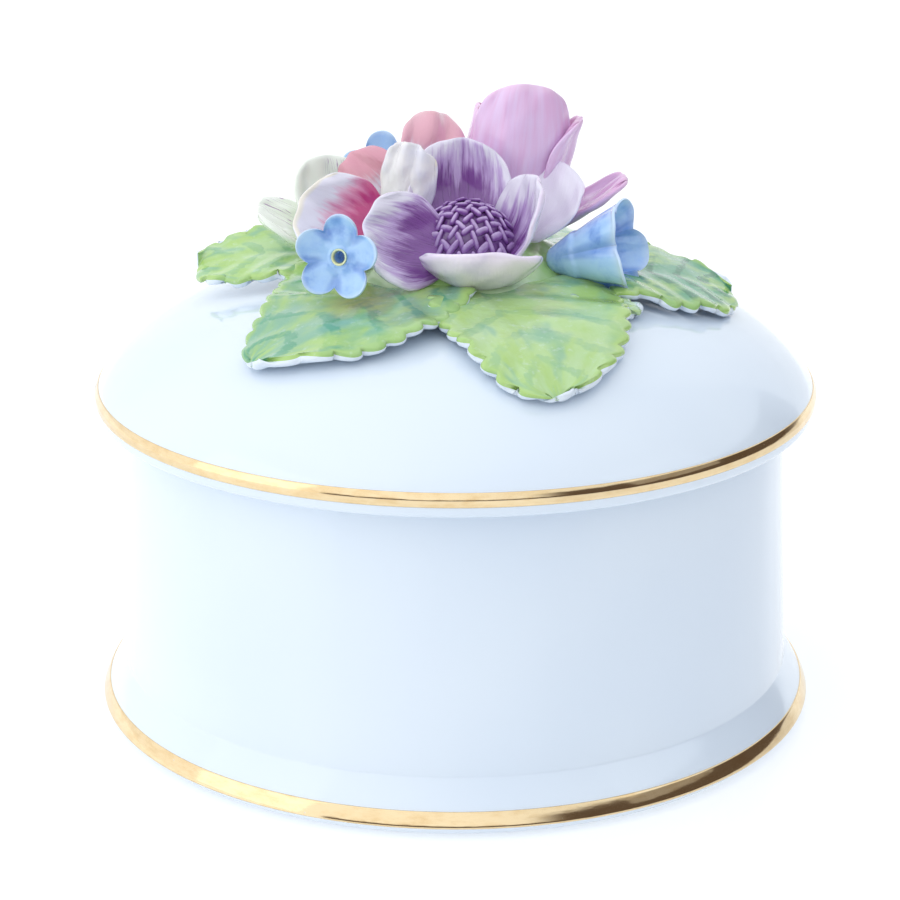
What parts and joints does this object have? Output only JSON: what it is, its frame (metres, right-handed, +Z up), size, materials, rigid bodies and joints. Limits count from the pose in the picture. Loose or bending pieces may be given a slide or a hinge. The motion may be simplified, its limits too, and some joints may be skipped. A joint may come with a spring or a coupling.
{
  "type": "lidded trinket box",
  "caption": "Round porcelain trinket box on a flared foot, with a gilded edge and a lift-off domed lid topped by a posy of hand-built flowers and leaves.",
  "frame": {"origin": "centre of the circle the foot stands on, at table height", "axes": "+Z up along the axis of the box; -Y towards the front of the posy"},
  "size_m": [0.0852, 0.0852, 0.0724],
  "materials": {
    "porcelain": "high gloss white glaze",
    "gilding": "burnished gold over the glaze",
    "slip_mound": "glazed, pale green wash",
    "leaf": "glazed, hand painted green with white edges",
    "anemone": "glazed, brushed purple on white",
    "anemone_stamens": "satin purple",
    "rose": "glazed, pink wash",
    "blush": "glazed, white flushed with rose",
    "primrose": "glazed, cream with fine mauve lines",
    "forget_me_not": "glazed, pale blue wash"
  },
  "bodies": {
    "box": {"box_body": "porcelain", "foot_gilt_band": "gilding"},
    "lid": {"lid_shell": "porcelain", "lid_gilt_band": "gilding", "posy_mound": "slip_mound", "leaf_front_left": "leaf", "leaf_front_right": "leaf", "leaf_right": "leaf", "leaf_right_small": "leaf", "leaf_left": "leaf", "leaf_back_left": "leaf", "leaf_back_right": "leaf", "anemone_boss": "anemone_stamens", "anemone_petal_front": "anemone", "anemone_petal_left": "anemone", "anemone_petal_right": "anemone", "anemone_petal_back": "anemone", "anemone_petal_back_right": "anemone", "rose_core": "rose", "rose_petal_front": "rose", "rose_petal_left": "rose", "rose_petal_right": "rose", "rose_petal_back": "rose", "rose_petal_low": "rose", "blush_petal_left": "blush", "blush_petal_inner": "blush", "blush_petal_top": "blush", "blush_petal_back": "blush", "primrose_petal_top": "primrose", "primrose_petal_left": "primrose", "primrose_petal_back": "primrose", "forget_me_not_front": "forget_me_not", "forget_me_not_right": "forget_me_not", "forget_me_not_back": "forget_me_not"}
  },
  "joints": [
    {"name": "lid_lift", "type": "slide", "parent": "box", "child": "lid", "axis": [0, 0, 1], "range_m": [0, 0.08]}
  ]
}
